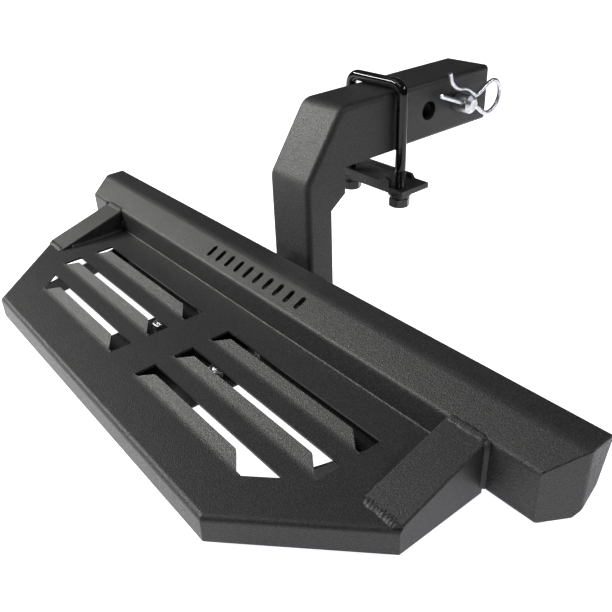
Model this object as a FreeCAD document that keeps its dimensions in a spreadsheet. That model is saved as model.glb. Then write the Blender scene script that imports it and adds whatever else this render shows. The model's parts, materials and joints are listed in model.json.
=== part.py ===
import FreeCAD, Part
import math
import operator
import os
from types import SimpleNamespace

import Sketcher

# Receiver-hitch step.  Millimetres, +X along the cross bar, +Y towards the vehicle, +Z up.
# The pieces are drawn about the line where the tread's top meets the bar's front wall,
# and are then placed so that the origin is the centre of the shank's free pin hole.

Vector = FreeCAD.Vector
UP = Vector(0, 0, 1)
doc = FreeCAD.newDocument("hitch_step")

# ---------------------------------------------------------------- driving dimensions
DIMENSIONS = [
    ("sheet_gauge", 2.0, "tread, bar, arms and ribs"),
    ("bar_width", 609.6, "over all, 24 inches"),
    ("bar_front_half", 290.0, "half width at the front wall, before the mitre"),
    ("bar_low", 17.5, "bar's underside below the tread"),
    ("slope_low", 22.6, "foot of the sloping face above the tread"),
    ("slope_run", 25.4, "depth of the sloping face"),
    ("bar_high", 34.8, "bar's top above the tread"),
    ("bar_depth", 46.8, "front wall to rear top edge"),
    ("bar_knee_y", 38.5, "rear wall's foot, where the chamfer starts"),
    ("bar_knee_z", 1.0, "height of that knee"),
    ("bar_floor_run", 22.0, "depth of the bar's flat underside"),
    ("bend_radius", 4.0, "outside radius of the bar's front and the skirts' bends"),
    ("top_bend", 18.0, "bar's bend between the sloping face and the top"),
    ("rear_bend", 2.0, "bar's bends along its rear"),
    ("cap_bend", 6.0, "bend of the end caps"),
    ("cap_edge", 1.2, "rounding round the end caps"),
    ("tread_depth", 154.5, "front edge to bar, about 6 inches"),
    ("tread_half", 254.0, "half width at the bar, 20 inches over all"),
    ("tread_front_half", 172.0, "half width of the front edge"),
    ("tread_side_run", 73.0, "length of the side edge"),
    ("skirt_depth", 20.0, "skirt below the tread's top"),
    ("slot_inner", 19.5, "slots' inner end"),
    ("slot_outer", 195.0, "outer end of the two rear slots"),
    ("slot_first_outer", 160.0, "outer end of the front slot, front corner"),
    ("slot_first_far", 179.0, "outer end of the front slot, rear corner"),
    ("slot_back", 29.0, "rear edge of the rear slot"),
    ("slot_pitch", 34.5, "slot to slot"),
    ("slot_depth", 19.0, "front edge to rear edge of a slot"),
    ("tab_length", 10.8, "tab's depth along its slope"),
    ("tab_angle", 23.6, "tab's rise, degrees"),
    ("tab_bend", 12.0, "radius of the tab's bend, on top"),
    ("tab_start", 0.6, "tab's flat part that keeps its full length"),
    ("tab_foot", 4.5, "from the slot's end to the tab's slanted end, at the hinge"),
    ("tab_knee", 16.5, "from the slot's end to the tab's clipped corner"),
    ("tab_knee_run", 9.4, "from the hinge to that corner"),
    ("tab_top", 21.0, "from the slot's end to the tab's rear edge"),
    ("vent_height", 12.0, "cut-outs in the sloping face, in plan"),
    ("vent_width", 5.0, "one cut-out"),
    ("vent_pitch", 14.0, "cut-out to cut-out"),
    ("vent_count", 10.0, "cut-outs in the row"),
    ("arm_width", 31.0, "side arm"),
    ("arm_run", 71.0, "arm's length in plan"),
    ("arm_toe", 1.6, "arm's height at its front end"),
    ("arm_edge", 1.4, "rounding of the arm's long edges"),
    ("arm_solid", 6.0, "solid length at the arm's toe"),
    ("under_half", 65.0, "under plate's middle, half width"),
    ("under_strip", 38.0, "under plate's rear strip"),
    ("rib_front", 157.5, "rib's inner face at the front skirt"),
    ("rib_rear", 203.0, "rib's inner face at the bar"),
    ("rib_shift", 2.5, "both ribs and the strip between them, to the right"),
    ("foot_half", 57.0, "foot plate, half width"),
    ("foot_front", 78.0, "foot plate's front edge, ahead of the bar"),
    ("foot_rear", 90.0, "foot plate's rear edge"),
    ("foot_gauge", 6.0, "foot plate"),
    ("foot_corner", 9.0, "foot plate's corners"),
    ("foot_bolt_x", 44.5, "bolt holes, half spacing across"),
    ("foot_bolt_front", 58.0, "front bolts, ahead of the bar"),
    ("foot_bolt_rear", 13.0, "rear bolts, ahead of the bar"),
    ("bolt_radius", 4.0, "M8 thread"),
    ("bolt_flats", 13.0, "M8 across flats"),
    ("bolt_stub", 1.2, "thread that shows past a nut"),
    ("nut_height", 6.5, "M8 nut"),
    ("turned_low", 0.6, "corner turned off a nut or head, along its axis"),
    ("turned_in", 0.9, "the same, across it"),
    ("play", 0.2, "gap between pieces that fit, at each side"),
    ("head_height", 5.3, "M8 head"),
    ("hole_clearance", 0.5, "bolt holes, radial"),
    ("post_front", 55.0, "post's front face"),
    ("post_rear", 80.6, "post's rear face"),
    ("shoulder_low", 103.5, "foot of the bracket's shoulder"),
    ("shoulder_y", 94.2, "head of the shoulder"),
    ("shoulder_radius", 14.0, "the shoulder's two bends"),
    ("gusset_rear", 96.4, "rear face of the inner corner"),
    ("gusset_low", 74.5, "foot of the inner corner's slope"),
    ("gusset_high", 86.0, "head of that slope"),
    ("bracket_gauge", 4.0, "bracket wall"),
    ("bracket_radius", 5.0, "bracket's long edges"),
    ("strip_shift", 1.8, "back strip's inner bends above its outer ones"),
    ("cavity_drop", 2.5, "bracket's inner bend below its outer one"),
    ("cavity_shift", 2.0, "bracket's upper inner bend behind its outer one"),
    ("web_gauge", 5.0, "web plates"),
    ("web_inner", 14.0, "web plate's inner face"),
    ("web_high", 20.0, "web plate's top"),
    ("shank_size", 50.8, "2 inch square tube"),
    ("shank_wall", 6.35, "quarter inch"),
    ("shank_radius", 4.0, "tube's corners"),
    ("shank_top", 160.0, "shank's top above the tread"),
    ("shank_start", 163.5, "bracket to shank seam"),
    ("shank_end", 275.8, "shank's open end"),
    ("free_hole", 197.0, "free pin hole from the bar's front wall"),
    ("pin_hole", 235.0, "pin hole in use"),
    ("pin_hole_radius", 8.4, "holes for a 5/8 inch pin"),
    ("pin_radius", 7.94, "5/8 inch pin"),
    ("pin_tip", 44.0, "pin's free end from the middle"),
    ("pin_bend_x", 31.0, "where the handle's bend starts"),
    ("pin_bend", 14.0, "bend of the handle, centre line"),
    ("pin_handle", 34.0, "straight part of the handle"),
    ("pin_chamfer", 3.0, "pin's free end"),
    ("clip_x", 36.0, "R-clip from the middle"),
    ("clip_tilt", 21.4, "R-clip's fall towards its loop, degrees"),
    ("clip_wire", 2.0, "R-clip's wire radius"),
    ("clip_leg", 37.5, "R-clip's straight leg, from the pin's axis to its tip"),
    ("clip_straight", 12.0, "from the pin's axis to where the leg starts to bend"),
    ("clip_hole", 2.3, "the pin's cross hole, radius"),
    ("rod_radius", 4.75, "U-bolt rod, 3/8 inch"),
    ("rod_x", 31.25, "U-bolt's legs, half spacing"),
    ("rod_y", 156.5, "U-bolt from the bar's front wall"),
    ("rod_bend", 9.5, "U-bolt's corner, centre line"),
    ("rod_gap", 1.5, "U-bolt above the shank"),
    ("rod_low", 57.2, "U-bolt's ends above the tread"),
    ("clamp_top", 76.0, "clamp plate's top above the tread"),
    ("clamp_gauge", 5.0, "clamp plate"),
    ("clamp_half", 42.0, "clamp plate, half length"),
    ("clamp_front", 148.0, "clamp plate's front edge"),
    ("clamp_rear", 182.0, "clamp plate's rear edge"),
    ("clamp_lip", 4.0, "lip above the plate"),
    ("clamp_lip_gauge", 3.0, "lip"),
    ("clamp_lip_end", 23.0, "lips' end on the pin-clip side"),
    ("clamp_horn", 8.5, "horn at the front lip's end"),
    ("clamp_horn_rise", 10.0, "from the horn's foot to the lip's end"),
    ("clamp_horn_top", 1.0, "from the horn's peak to the lip's end"),
    ("clamp_horn_past", 3.0, "horn's far side past the lip's end"),
    ("clamp_horn_fall", 2.0, "horn's far corner below its peak"),
    ("clamp_lip_slant", 4.0, "rear lip's foot past its end"),
    ("clamp_nut_flats", 17.0, "clamp nut across flats"),
    ("clamp_nut_height", 8.3, "clamp nut"),
    ("clamp_washer_radius", 10.3, "clamp's flat washer, 3/8 inch"),
    ("clamp_washer_gauge", 1.7, "clamp's flat washer"),
    ("washer_radius", 8.0, "M8 washer"),
    ("washer_gauge", 1.6, "M8 washer"),
    ("spring_radius", 8.4, "spring washer, 3/8 inch"),
    ("spring_gauge", 2.4, "spring washer"),
    ("spring_split", 0.8, "gap in a spring washer"),
    ("bead", 3.5, "leg of a fillet weld"),
    ("bead_crown", 0.55, "middle of a weld's face, as a share of its leg"),
    ("bead_end", 1.0, "bead's ends short of the arm's sides"),
    ("side_bead_start", 4.0, "side bead's start behind the arm's toe"),
    ("seam_half", 3.0, "seam weld between arm and bar, half width"),
    ("seam_high", 1.2, "that weld's height over the sheet"),
]
OVERCUT = 20
THROUGH = 1000
STRAIGHT = 1e-4
NEAR = 0.05
POKE = 1
LONG_EDGE = 10


class Size:
    """A length of the sheet, or a sum made of such lengths.

    It holds the value, and the expression that binds a property to the sheet.
    """

    def __init__(self, text, value):
        self.text = text
        self.value = value

    def __add__(self, other):
        return joined(self, "+", other)

    def __radd__(self, other):
        return joined(other, "+", self)

    def __sub__(self, other):
        return joined(self, "-", other)

    def __rsub__(self, other):
        return joined(other, "-", self)

    def __mul__(self, other):
        return joined(self, "*", other)

    def __rmul__(self, other):
        return joined(other, "*", self)

    def __truediv__(self, other):
        return joined(self, "/", other)

    def __neg__(self):
        return Size(f"(-{self.text})", -self.value)


SIGNS = {"+": operator.add, "-": operator.sub, "*": operator.mul, "/": operator.truediv}


def size(item):
    """A size as it is, or a plain number as a size."""
    return item if isinstance(item, Size) else Size(f"({item})", float(item))


def joined(first, sign, second):
    first = size(first)
    second = size(second)
    value = SIGNS[sign](first.value, second.value)
    return Size(f"({first.text} {sign} {second.text})", value)


def root(item):
    return Size(f"sqrt({item.text})", math.sqrt(item.value))


def trig(name, degrees):
    """The sin, cos or tan of an angle of the sheet."""
    value = getattr(math, name)(math.radians(degrees.value))
    return Size(f"{name}({degrees.text} * 1 deg)", value)


sheet = doc.addObject("Spreadsheet::Sheet", "dims")
for row, (alias, value, note) in enumerate(DIMENSIONS, 1):
    sheet.set(f"A{row}", note)
    sheet.set(f"B{row}", str(value))
    sheet.setAlias(f"B{row}", alias)
doc.recompute()
dims = SimpleNamespace(**{
    alias: Size(f"dims.{alias}", float(sheet.get(alias))) for alias, _, _ in DIMENSIONS
})

# ---------------------------------------------------------------- helpers
NODES = {}
SIDES = (("left", -1), ("right", 1))


def bind(obj, name, item):
    obj.setExpression(name, size(item).text)


def point(corner):
    return Vector(size(corner[0]).value, size(corner[1]).value, 0)


def node(obj, label):
    """Name a finished piece and move it to the part's own origin."""
    obj.Label = label
    bind(obj, "Placement.Base.y", -dims.free_hole)
    bind(obj, "Placement.Base.z", dims.shank_size / 2 - dims.shank_top)
    NODES[label] = obj
    return obj


def new_body(name):
    return doc.addObject("PartDesign::Body", name + "_body")


def sketch_on(body, role, name, offset=0):
    """A sketch on one of the body's own planes, moved along the plane's normal."""
    plane = next(item for item in body.Origin.OriginFeatures if item.Role == role)
    sketch = body.newObject("Sketcher::SketchObject", name)
    sketch.AttachmentSupport = [(plane, "")]
    sketch.MapMode = "FlatFace"
    bind(sketch, "AttachmentOffset.Base.z", offset)
    return sketch


def pin_distance(sketch, kind, geometry, position, item):
    """Tie one coordinate of a sketch's point to the sheet."""
    constraint = Sketcher.Constraint(kind, -1, 1, geometry, position, size(item).value)
    bind(sketch, f"Constraints[{sketch.addConstraint(constraint)}]", item)


def pin_point(sketch, geometry, position, corner):
    pin_distance(sketch, "DistanceX", geometry, position, corner[0])
    pin_distance(sketch, "DistanceY", geometry, position, corner[1])


def arc_between(start, stop, centre):
    """The shorter arc, and which of its ends is the start."""
    first = start - centre
    last = stop - centre
    forward = first.cross(last).z > 0
    low, high = (first, last) if forward else (last, first)
    begin = math.atan2(low.y, low.x)
    sweep = low.getAngle(high)
    ring = Part.Circle(centre, UP, first.Length)
    return Part.ArcOfCircle(ring, begin, begin + sweep), 1 if forward else 2


def outline(sketch, corners):
    """A closed outline whose every corner is tied to the sheet.

    A corner is (across, up).  One with two more items is followed by an arc about
    the centre that they give.
    """
    first = sketch.GeometryCount
    heads = []
    for corner, following in zip(corners, corners[1:] + corners[:1]):
        start = point(corner)
        stop = point(following)
        if len(corner) == 2:
            curve, head = Part.LineSegment(start, stop), 1
        else:
            curve, head = arc_between(start, stop, point(corner[2:]))
        sketch.addGeometry(curve)
        heads.append(head)
    for index, corner in enumerate(corners):
        after = (index + 1) % len(corners)
        sketch.addConstraint(Sketcher.Constraint(
            "Coincident", first + index, 3 - heads[index], first + after, heads[after]))
        pin_point(sketch, first + index, heads[index], corner)
        if len(corner) > 2:
            pin_distance(sketch, "DistanceY", first + index, 3, corner[3])


def circle(sketch, centre, radius):
    number = sketch.addGeometry(Part.Circle(point(centre), UP, radius.value))
    pin_point(sketch, number, 3, centre)
    tie = sketch.addConstraint(Sketcher.Constraint("Radius", number, radius.value))
    bind(sketch, f"Constraints[{tie}]", radius)


def inset(corners, gauge):
    """The same outline, moved inwards by the gauge at every side."""
    points = [point(corner) for corner in corners]
    after = points[1:] + points[:1]
    area = sum(a.x * b.y - b.x * a.y for a, b in zip(points, after))
    inward = math.copysign(1, area)
    moved = []
    for index, (across, up) in enumerate(corners):
        into = (points[index] - points[index - 1]).normalize()
        out = (after[index] - points[index]).normalize()
        share = inward / (1 + into.dot(out))
        moved.append((across - gauge * ((into.y + out.y) * share),
                      up + gauge * ((into.x + out.x) * share)))
    return moved


def pad(body, sketch, length, both=False, back=False):
    feature = body.newObject("PartDesign::Pad", sketch.Name + "_pad")
    feature.Profile = sketch
    bind(feature, "Length", length)
    feature.Midplane = both
    feature.Reversed = back
    doc.recompute()
    return feature


def pocket(body, sketch, length=THROUGH, both=True, back=False):
    """Cut, and make sure that the cut took material away."""
    before = body.Shape.Volume
    feature = body.newObject("PartDesign::Pocket", sketch.Name + "_cut")
    feature.Profile = sketch
    bind(feature, "Length", length)
    feature.Midplane = both
    feature.Reversed = back
    doc.recompute()
    if body.Shape.Volume > before - 0.01:
        raise RuntimeError(f"{sketch.Name} cuts nothing")
    return feature


def round_edges(body, test, radius):
    """Fillet every edge of the body's last feature that the test picks."""
    base = body.Tip
    names = [f"Edge{index}" for index, edge in enumerate(base.Shape.Edges, 1)
             if test(edge)]
    if not names:
        raise RuntimeError(f"{body.Name}: no edge to round")
    feature = body.newObject("PartDesign::Fillet", f"{body.Name}_round")
    feature.Base = (base, names)
    bind(feature, "Radius", radius)
    doc.recompute()
    return feature


def ends(edge):
    return [vertex.Point for vertex in edge.Vertexes]


def middle(edge):
    return edge.valueAt((edge.FirstParameter + edge.LastParameter) / 2)


def along_x_at(edge, corners):
    """Is the edge parallel to X, through one of the (y, z) corners?"""
    points = ends(edge)
    if len(points) != 2 or (points[0] - points[1]).cross(Vector(1, 0, 0)).Length > 1e-4:
        return False
    spots = [point(corner) for corner in corners]
    return any(math.hypot(points[0].y - at.x, points[0].z - at.y) < NEAR for at in spots)


def place(obj, x, y, z, turn=None):
    """Bind an object's place; turn is an axis and an angle in degrees."""
    if turn:
        obj.Placement.Rotation = FreeCAD.Rotation(Vector(*turn[0]), turn[1])
    bind(obj, "Placement.Base.x", x)
    bind(obj, "Placement.Base.y", y)
    bind(obj, "Placement.Base.z", z)
    return obj


def cylinder(name, radius, height, x, y, z, turn=None):
    obj = doc.addObject("Part::Cylinder", name)
    bind(obj, "Radius", radius)
    bind(obj, "Height", height)
    return place(obj, x, y, z, turn)


def quarter_bend(name, centre_line, radius, x, y, z, facing):
    """A quarter of a torus in the XZ plane, from +Z round to +X, or to -X."""
    bend = doc.addObject("Part::Torus", name)
    bind(bend, "Radius1", centre_line)
    bind(bend, "Radius2", radius)
    bend.Angle3 = 90
    turn = FreeCAD.Rotation(Vector(1, 0, 0), 90)
    if facing < 0:
        turn = FreeCAD.Rotation(UP, 180).multiply(turn)
    bend.Placement.Rotation = turn
    return place(bend, x, y, z)


def hexagon(name, flats, height, x, y, z):
    """A hexagonal prism with its corners turned off at both ends."""
    corner = flats / 2 / trig("cos", size(30))
    prism = doc.addObject("Part::Prism", name + "_prism")
    prism.Polygon = 6
    bind(prism, "Circumradius", corner)
    bind(prism, "Height", height)
    place(prism, x, y, z)
    turned = doc.addObject("Part::Chamfer", name + "_turned")
    turned.Base = cylinder(name + "_blank", corner, height, x, y, z)
    end_circles = (2, 3)
    turned.Edges = [(number, dims.turned_low.value, dims.turned_in.value)
                    for number in end_circles]
    common = doc.addObject("Part::Common", name + "_hexagon")
    common.Base = prism
    common.Tool = turned
    return common


def fused(name, pieces):
    obj = doc.addObject("Part::MultiFuse", name)
    obj.Shapes = pieces
    return obj


def cut(name, base, tool):
    obj = doc.addObject("Part::Cut", name)
    obj.Base = base
    obj.Tool = tool
    return obj


def group(name, pieces):
    obj = doc.addObject("Part::Compound", name)
    obj.Links = pieces
    return obj


def ring(name, outer, inner, height, x, y, z):
    """A flat washer, or any other short tube along Z."""
    disc = cylinder(name + "_disc", outer, height, x, y, z)
    hole = cylinder(name + "_hole", inner, height + 2 * POKE, x, y, z - POKE)
    return cut(name + "_ring", disc, hole)


# ---------------------------------------------------------------- cross bar
BAR_OUTLINE = [
    (0, -dims.bar_low), (0, dims.slope_low), (dims.slope_run, dims.bar_high),
    (dims.bar_depth, dims.bar_high), (dims.bar_knee_y, dims.bar_knee_z),
    (dims.bar_floor_run, -dims.bar_low),
]


TOP_CORNER = BAR_OUTLINE[2]
FRONT_CORNERS = BAR_OUTLINE[:2]
REAR_CORNERS = BAR_OUTLINE[3:]


def round_bar_bends(body):
    for corners, radius in (([TOP_CORNER], dims.top_bend),
                            (FRONT_CORNERS, dims.bend_radius),
                            (REAR_CORNERS, dims.rear_bend)):
        round_edges(body, lambda edge, at=corners: along_x_at(edge, at), radius)


def bar_end(sign, gap):
    """The bar's end from above, moved inwards by the gap: front, side corner, rear."""
    rise = dims.bar_width / 2 - dims.bar_front_half
    run = dims.slope_run
    length = root(rise * rise + run * run)
    front = dims.bar_front_half - gap * length / run - OVERCUT * rise / run
    side = dims.bar_width / 2 - gap
    return [
        (sign * front, -OVERCUT),
        (sign * side, run + gap * (length - run) / rise),
        (sign * side, dims.bar_depth + OVERCUT),
    ]


def cut_bar_end(body, name, sign, gap):
    """Take away all that lies outside the bar's end."""
    outside = sign * (dims.bar_width / 2 + OVERCUT)
    sketch = sketch_on(body, "XY_Plane", name)
    outline(sketch, bar_end(sign, gap) + [
        (outside, dims.bar_depth + OVERCUT), (outside, -OVERCUT),
    ])
    return pocket(body, sketch)


def make_cross_bar():
    body = new_body("cross_bar")
    section = sketch_on(body, "YZ_Plane", "bar_outline")
    outline(section, BAR_OUTLINE)
    outline(section, inset(BAR_OUTLINE, dims.sheet_gauge))
    pad(body, section, dims.bar_width, both=True)
    round_bar_bends(body)
    for side, sign in SIDES:
        cut_bar_end(body, "bar_mitre_" + side, sign, dims.sheet_gauge)
    cut_vents(body)
    node(body, "cross_bar")


def cut_vents(body):
    """A row of upright slots with round ends through the sloping face."""
    centre = dims.slope_run / 2
    half_run = (dims.vent_height - dims.vent_width) / 2
    half_width = dims.vent_width / 2
    top = dims.bar_high + POKE
    slots = sketch_on(body, "XY_Plane", "bar_vents", top)
    for index in range(int(dims.vent_count.value)):
        across = (index - (dims.vent_count - 1) / 2) * dims.vent_pitch
        low = centre - half_run
        high = centre + half_run
        tips = {"low": low - half_width, "high": high + half_width}
        outline(slots, [
            (across - half_width, high), (across - half_width, low, across, low),
            (across, tips["low"], across, low), (across + half_width, low),
            (across + half_width, high, across, high),
            (across, tips["high"], across, high),
        ])
    pocket(body, slots, top - dims.slope_low / 2, both=False)


def make_end_cap(side, sign):
    """A folded plate over the bar's mitred end."""
    body = new_body("end_cap_" + side)
    section = sketch_on(body, "YZ_Plane", "cap_outline_" + side,
                        sign * dims.bar_width / 2)
    outline(section, BAR_OUTLINE)
    depth = dims.bar_width / 2 - dims.bar_front_half + OVERCUT
    pad(body, section, depth, back=(side == "right"))
    round_bar_bends(body)
    cut_bar_end(body, "cap_mitre_" + side, sign, 0)
    corner = bar_end(sign, 0)[1]

    def at_the_bend(edge):
        points = ends(edge)
        return all(abs(at.x - size(corner[0]).value) < NEAR
                   and abs(at.y - size(corner[1]).value) < NEAR for at in points)

    round_edges(body, at_the_bend, dims.cap_bend)
    front, _, rear = [point(at) for at in bar_end(sign, 0)]
    mitre_way = (point(corner) - front).normalize()

    def on_the_rim(edge):
        at = middle(edge)
        beyond = Vector(at.x - front.x, at.y - front.y, 0)
        on_mitre = beyond.cross(mitre_way).Length < NEAR
        on_side = abs(at.x - rear.x) < NEAR
        if len(ends(edge)) == 2 and abs(ends(edge)[0].z - ends(edge)[1].z) > LONG_EDGE:
            on_side = on_side and at.y > dims.slope_run.value + dims.cap_bend.value
        return on_mitre or on_side

    round_edges(body, on_the_rim, dims.cap_edge)
    inside = sketch_on(body, "XY_Plane", "cap_back_" + side)
    far = sign * (dims.bar_front_half - 2 * OVERCUT)
    outline(inside, bar_end(sign, dims.sheet_gauge) + [
        (far, dims.bar_depth + OVERCUT), (far, -OVERCUT),
    ])
    pocket(body, inside)
    node(body, "end_cap_" + side)


# ---------------------------------------------------------------- tread
TAB_BEND_RUN = dims.tab_bend * trig("tan", dims.tab_angle / 2)


def slot_ends(number):
    """Outer ends of a slot at its rear and front edges; the first one is slanted."""
    if number == 2:
        return dims.slot_first_far, dims.slot_first_outer
    return dims.slot_outer, dims.slot_outer


def hinge_line(number):
    return -(dims.slot_back + number * dims.slot_pitch + dims.slot_depth)


def make_tread():
    body = new_body("tread")
    plan = sketch_on(body, "XY_Plane", "tread_outline")
    edge_line = [
        (-dims.tread_half, 0), (-dims.tread_half, -dims.tread_side_run),
        (-dims.tread_front_half, -dims.tread_depth),
        (dims.tread_front_half, -dims.tread_depth),
        (dims.tread_half, -dims.tread_side_run), (dims.tread_half, 0),
    ]
    outline(plan, edge_line)
    pad(body, plan, dims.skirt_depth, back=True)

    def front_top(edge):
        points = ends(edge)
        return (all(abs(at.z) < NEAR for at in points)
                and min(at.y for at in points) < -dims.tread_depth.value + NEAR)

    round_edges(body, front_top, dims.bend_radius)
    hollow = sketch_on(body, "XY_Plane", "tread_inside", -dims.skirt_depth)
    inner = inset(edge_line, dims.sheet_gauge)
    inner[0] = (inner[0][0], POKE)
    inner[-1] = (inner[-1][0], POKE)
    outline(hollow, inner)
    pocket(body, hollow, dims.skirt_depth - dims.sheet_gauge, both=False, back=True)
    slots = sketch_on(body, "XY_Plane", "tread_slots")
    for side, sign in SIDES:
        for number in range(3):
            cut_slot(slots, sign, number)
    pocket(body, slots)
    for side, sign in SIDES:
        for number in range(3):
            make_tab(body, side, sign, number)
    node(body, "tread_plate")


def cut_slot(slots, sign, number):
    far, near = slot_ends(number)
    rear = -(dims.slot_back + number * dims.slot_pitch)
    front = hinge_line(number)
    bend_start = front - TAB_BEND_RUN
    outline(slots, [
        (sign * dims.slot_inner, rear), (sign * far, rear), (sign * near, front),
        (sign * near, bend_start), (sign * dims.slot_inner, bend_start),
    ])


def make_tab(body, side, sign, number):
    """One louvre tab: bent up from the slot's front edge, rising to the rear."""
    name = f"tab_{side}_{number}"
    near = slot_ends(number)[1]
    hinge = hinge_line(number)
    level = hinge - TAB_BEND_RUN
    along = trig("cos", dims.tab_angle)
    rise = trig("sin", dims.tab_angle)
    gauge = dims.sheet_gauge
    bend = (hinge + TAB_BEND_RUN * along, TAB_BEND_RUN * rise)
    tip = (hinge + dims.tab_length * along, dims.tab_length * rise)
    section = sketch_on(body, "YZ_Plane", name, sign * dims.slot_inner)
    outline(section, [
        (level - POKE, -gauge), (level - POKE, 0), (level, 0, level, dims.tab_bend),
        bend, tip,
        (tip[0] + gauge * rise, tip[1] - gauge * along),
        (bend[0] + gauge * rise, bend[1] - gauge * along, level, dims.tab_bend),
        (level, -gauge),
    ])
    pad(body, section, near - dims.slot_inner, back=(side == "left"))
    trim = sketch_on(body, "XY_Plane", name + "_trim")
    beyond = hinge + dims.tab_length * along + POKE
    for end, way in ((dims.slot_inner, 1), (near, -1)):
        outline(trim, [
            (sign * end, hinge + dims.tab_start),
            (sign * (end + way * dims.tab_foot), hinge + dims.tab_start),
            (sign * (end + way * dims.tab_knee), hinge + dims.tab_knee_run),
            (sign * (end + way * dims.tab_top), beyond),
            (sign * end, beyond),
        ])
    pocket(body, trim)


# ---------------------------------------------------------------- side arms
ARM_SLOPE = (dims.slope_low - dims.arm_toe) / dims.arm_run


def make_arm(side, sign):
    """A sloping folded cover, open below, from the tread's corner up to the bar."""
    body = new_body("side_arm_" + side)
    section = sketch_on(body, "YZ_Plane", "arm_outline_" + side, sign * dims.tread_half)
    outline(section, [
        (-dims.arm_run, 0), (-dims.arm_run, dims.arm_toe), (0, dims.slope_low), (0, 0),
    ])
    pad(body, section, dims.arm_width, back=(side == "right"))

    def long_top(edge):
        low, high = sorted(ends(edge), key=lambda at: at.z)
        top = abs(high.z - dims.slope_low.value) < NEAR
        toe = abs(low.z - dims.arm_toe.value) < NEAR
        return top and toe and high.y - low.y > LONG_EDGE

    round_edges(body, long_top, dims.arm_edge)
    cavity = sketch_on(body, "YZ_Plane", "arm_inside_" + side,
                       sign * (dims.tread_half - dims.sheet_gauge))
    start = -dims.arm_run + dims.arm_solid
    gauge = dims.sheet_gauge * root(1 + ARM_SLOPE * ARM_SLOPE)
    outline(cavity, [
        (start, -POKE), (start, dims.slope_low + start * ARM_SLOPE - gauge),
        (POKE, dims.slope_low + POKE * ARM_SLOPE - gauge), (POKE, -POKE),
    ])
    pocket(body, cavity, dims.arm_width - 2 * dims.sheet_gauge, both=False,
           back=(side == "left"))
    node(body, "side_arm_" + side)


# ---------------------------------------------------------------- under the tread
BOLT_SPOTS = [
    (sign * dims.foot_bolt_x, -row)
    for row in (dims.foot_bolt_front, dims.foot_bolt_rear) for _, sign in SIDES
]
FRONT_INSIDE = -dims.tread_depth + dims.sheet_gauge


def bolt_holes(body, name):
    holes = sketch_on(body, "XY_Plane", name)
    for centre in BOLT_SPOTS:
        circle(holes, centre, dims.bolt_radius + dims.hole_clearance)
    pocket(body, holes)


def make_under_plate():
    """T-shaped plate: a middle that carries the foot plate, and a strip along the bar."""
    body = new_body("under_plate")
    plan = sketch_on(body, "XY_Plane", "under_outline", -dims.bar_low)
    gap = dims.play
    slant = (dims.rib_rear - dims.rib_front) / (dims.tread_depth - dims.sheet_gauge)
    strip_end = dims.rib_rear - dims.under_strip * slant - gap
    outline(plan, [
        (dims.rib_shift - dims.rib_rear + gap, 0),
        (dims.rib_shift - strip_end, -dims.under_strip),
        (-dims.under_half, -dims.under_strip), (-dims.under_half, FRONT_INSIDE),
        (dims.under_half, FRONT_INSIDE), (dims.under_half, -dims.under_strip),
        (dims.rib_shift + strip_end, -dims.under_strip),
        (dims.rib_shift + dims.rib_rear - gap, 0),
    ])
    pad(body, plan, dims.sheet_gauge)
    bolt_holes(body, "under_holes")
    node(body, "under_plate")


def make_rib(side, sign):
    body = new_body("side_rib_" + side)
    plan = sketch_on(body, "XY_Plane", "rib_outline_" + side, -dims.bar_low)
    front = dims.rib_front
    rear = dims.rib_rear
    outline(plan, [
        (dims.rib_shift + sign * front, FRONT_INSIDE), (dims.rib_shift + sign * rear, 0),
        (dims.rib_shift + sign * (rear + dims.sheet_gauge), 0),
        (dims.rib_shift + sign * (front + dims.sheet_gauge), FRONT_INSIDE),
    ])
    pad(body, plan, dims.bar_low - dims.sheet_gauge)
    node(body, "side_rib_" + side)


def make_foot_plate():
    body = new_body("foot_plate")
    plan = sketch_on(body, "XY_Plane", "foot_outline", -dims.bar_low - dims.foot_gauge)
    outline(plan, [
        (-dims.foot_half, -dims.foot_front), (dims.foot_half, -dims.foot_front),
        (dims.foot_half, dims.foot_rear), (-dims.foot_half, dims.foot_rear),
    ])
    pad(body, plan, dims.foot_gauge)

    def upright(edge):
        points = ends(edge)
        return abs(points[0].z - points[1].z) > POKE

    round_edges(body, upright, dims.foot_corner)
    bolt_holes(body, "foot_holes")
    node(body, "foot_plate")


def make_foot_fasteners():
    bolts = []
    nuts = []
    washers = []
    plate_top = dims.sheet_gauge - dims.bar_low
    washer_low = -dims.bar_low - dims.foot_gauge - dims.washer_gauge
    rod_length = plate_top - washer_low + dims.nut_height + dims.bolt_stub
    for index, (x, y) in enumerate(BOLT_SPOTS):
        name = f"foot_{index}"
        head = hexagon(name + "_head", dims.bolt_flats, dims.head_height, x, y,
                       washer_low - dims.head_height)
        rod = cylinder(name + "_rod", dims.bolt_radius, rod_length, x, y, washer_low)
        bolts.append(fused(name + "_bolt", [head, rod]))
        blank = hexagon(name + "_nut", dims.bolt_flats, dims.nut_height, x, y, plate_top)
        bore = cylinder(name + "_bore", dims.bolt_radius, dims.nut_height + 2 * POKE,
                        x, y, plate_top - POKE)
        nuts.append(cut(name + "_nut_cut", blank, bore))
        washers.append(ring(name + "_washer", dims.washer_radius,
                            dims.bolt_radius + dims.play, dims.washer_gauge,
                            x, y, washer_low))
    node(group("foot_bolts_group", bolts), "foot_bolts")
    node(group("foot_nuts_group", nuts), "foot_nuts")
    node(group("foot_washers_group", washers), "foot_washers")


# ---------------------------------------------------------------- drop bracket
SHANK_LOW = dims.shank_top - dims.shank_size
BRACKET_OUTLINE = [
    (dims.post_front, -dims.bar_low), (dims.post_front, dims.shoulder_low),
    (dims.shoulder_y, dims.shank_top), (dims.shank_start, dims.shank_top),
    (dims.shank_start, SHANK_LOW), (dims.gusset_rear, SHANK_LOW),
    (dims.gusset_rear, dims.gusset_high), (dims.post_rear, dims.gusset_low),
    (dims.post_rear, -dims.bar_low),
]


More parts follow.
